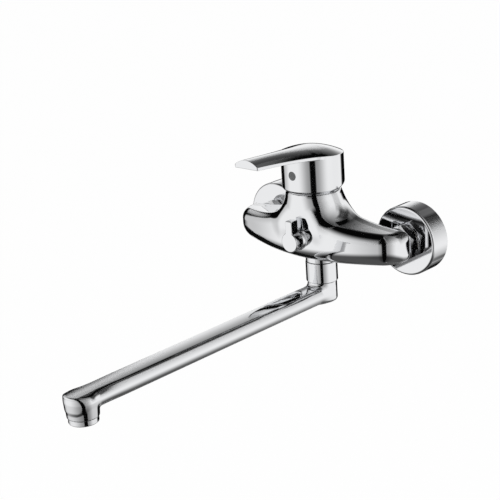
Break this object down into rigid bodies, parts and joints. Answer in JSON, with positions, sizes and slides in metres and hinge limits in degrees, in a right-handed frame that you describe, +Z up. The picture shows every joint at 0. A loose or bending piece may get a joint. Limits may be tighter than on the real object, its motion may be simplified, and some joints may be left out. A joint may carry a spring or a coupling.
{
  "type": "wall mixer tap",
  "caption": "Chrome wall-mounted single-lever mixer tap with a front diverter knob, a shower hose outlet and a long flat swivelling spout.",
  "frame": {"origin": "in the plane of the finished wall, midway between the two inlets at the height of their axes", "axes": "+X to the right of a person facing the tap, +Y into the wall, +Z up; the spout points along -Y at rest"},
  "size_m": [0.2124, 0.3624, 0.1606],
  "materials": {
    "chrome": "polished chrome plate over brass",
    "brass": "machined brass",
    "steel": "stainless steel",
    "rubber": "matt black rubber",
    "ceramic": null,
    "plastic": "moulded white plastic",
    "grey": "moulded dark grey plastic"
  },
  "bodies": {
    "fixed_body": {"left_wall_flange": "chrome", "right_wall_flange": "chrome", "left_union_nut": "chrome", "right_union_nut": "chrome", "body_casting": "chrome", "trim_cap": "chrome", "diverter_collar": "chrome", "outlet_nipple": "chrome", "spout_nut": "chrome", "shower_outlet": "chrome", "left_eccentric_union": "brass", "right_eccentric_union": "brass", "left_inlet_pipe": "brass", "right_inlet_pipe": "brass", "cartridge_retaining_nut": "brass", "diverter_sleeve": "brass", "left_union_seal": "rubber", "right_union_seal": "rubber", "cartridge_port_seal_1": "rubber", "cartridge_port_seal_2": "rubber", "cartridge_port_seal_3": "rubber", "diverter_seal_1": "rubber", "diverter_seal_2": "rubber", "spout_seal_1": "rubber", "spout_seal_2": "rubber", "shower_seal": "rubber", "fixed_ceramic_disc": "ceramic", "cartridge_base": "plastic", "cartridge_housing": "plastic", "slide_washer": "plastic"},
    "temperature_carrier": {"cartridge_rotor": "plastic", "pivot_pin": "steel"},
    "lever": {"handle": "chrome", "handle_set_screw": "steel", "index_plug": "grey", "lever_stem": "brass"},
    "moving_disc": {"moving_ceramic_disc": "ceramic"},
    "diverter_rotor": {"diverter_knob": "chrome", "diverter_knob_screw": "steel", "diverter_spindle": "brass"},
    "spout_arm": {"spout": "chrome", "aerator_housing": "chrome", "aerator_insert": "plastic", "aerator_washer": "rubber", "spout_snap_ring": "steel"}
  },
  "joints": [
    {"name": "handle_swing", "type": "hinge", "parent": "fixed_body", "child": "temperature_carrier", "pos_m": [0, -0.051, 0.038], "axis": [0, 0, 1], "range_deg": [-45, 45]},
    {"name": "handle_lift", "type": "hinge", "parent": "temperature_carrier", "child": "lever", "pos_m": [0, -0.051, 0.038], "axis": [-1, 0, 0], "range_deg": [0, 20]},
    {"name": "disc_slide", "type": "slide", "parent": "temperature_carrier", "child": "moving_disc", "axis": [0, -1, 0], "range_m": [0, 0.004]},
    {"name": "diverter_turn", "type": "hinge", "parent": "fixed_body", "child": "diverter_rotor", "pos_m": [0, -0.076, 0.0043], "axis": [0, -1, 0], "range_deg": [0, 90]},
    {"name": "spout_swivel", "type": "hinge", "parent": "fixed_body", "child": "spout_arm", "pos_m": [0, -0.0457, -0.053], "axis": [0, 0, 1], "range_deg": [-90, 90]}
  ],
  "couplings": [
    {"joint": "disc_slide", "follows": "handle_lift", "m_per_rad": 0.01127}
  ]
}
